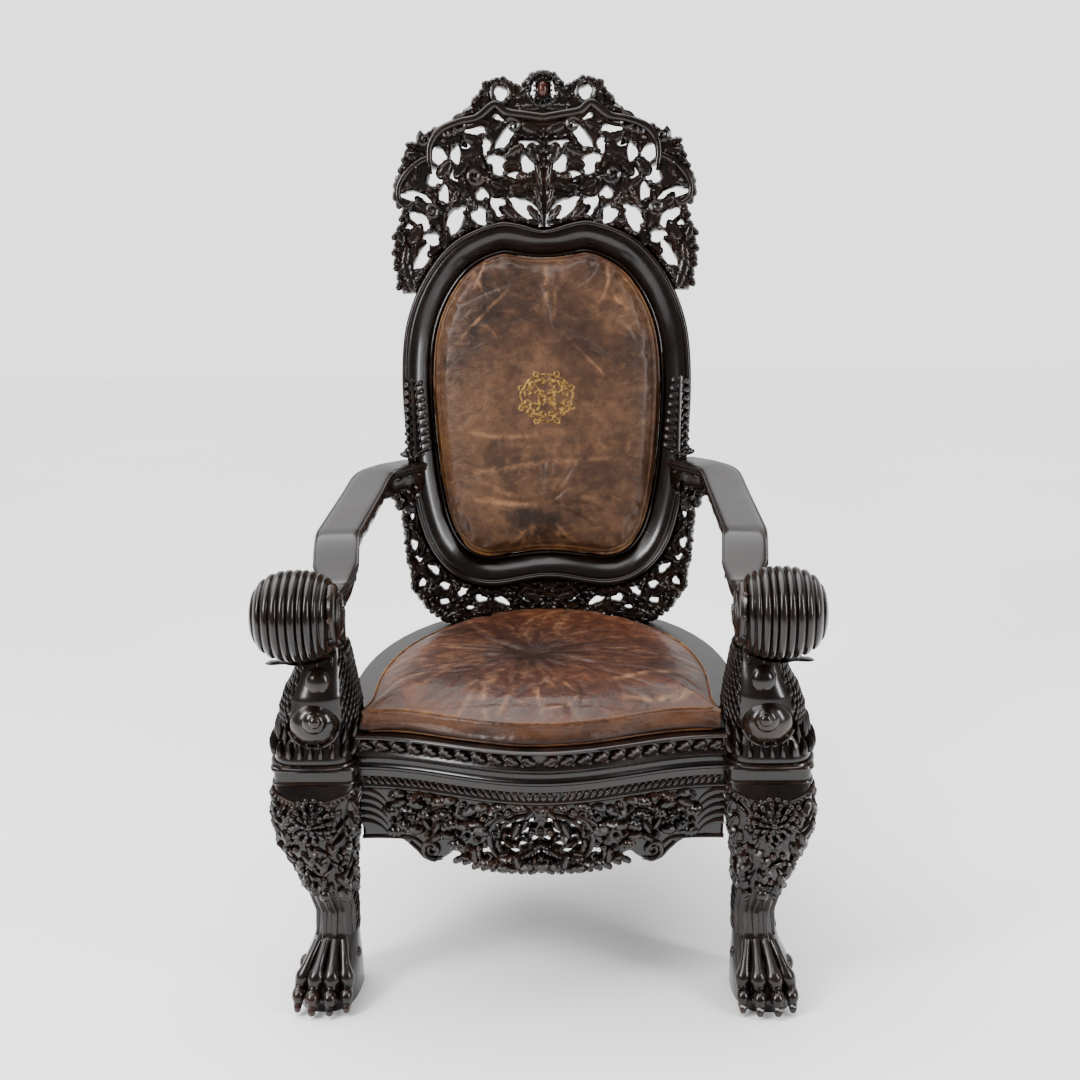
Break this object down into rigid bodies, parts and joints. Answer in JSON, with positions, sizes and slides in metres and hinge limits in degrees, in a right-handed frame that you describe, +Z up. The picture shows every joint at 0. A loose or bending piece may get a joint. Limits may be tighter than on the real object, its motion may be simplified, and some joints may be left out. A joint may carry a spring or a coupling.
{
  "type": "throne",
  "caption": "Carved dark hardwood throne with a pierced crest, moulded back frame, scroll arms, cabriole legs on lion's paws and leather back and seat cushions.",
  "frame": {"origin": "the middle of the throne's footprint, on the floor", "axes": "+Z up, +Y from the front of the seat to its back, +X to the right as seen from the front"},
  "size_m": [0.842, 0.837, 1.445],
  "materials": {
    "carved_wood": "waxed dark hardwood, deep carving",
    "polished_wood": "polished dark hardwood, glossy",
    "leather": "worn brown hide, creased and waxed"
  },
  "bodies": {
    "root": {"back_frame_upper": "polished_wood", "back_frame_lower": "polished_wood", "crest_carving": "carved_wood", "lower_carving": "carved_wood", "back_board": "carved_wood", "back_leaf_left": "carved_wood", "back_leaf_right": "carved_wood", "arm_left": "polished_wood", "arm_right": "polished_wood", "arm_support_left": "carved_wood", "arm_support_right": "carved_wood", "front_leg_left": "carved_wood", "front_leg_right": "carved_wood", "front_rail": "carved_wood", "front_apron": "carved_wood", "side_rail_left": "carved_wood", "side_rail_right": "carved_wood", "back_rail": "carved_wood", "rear_leg_left": "carved_wood", "rear_leg_right": "carved_wood", "seat_deck": "polished_wood", "back_cushion": "leather", "seat_cushion": "leather"}
  },
  "joints": []
}
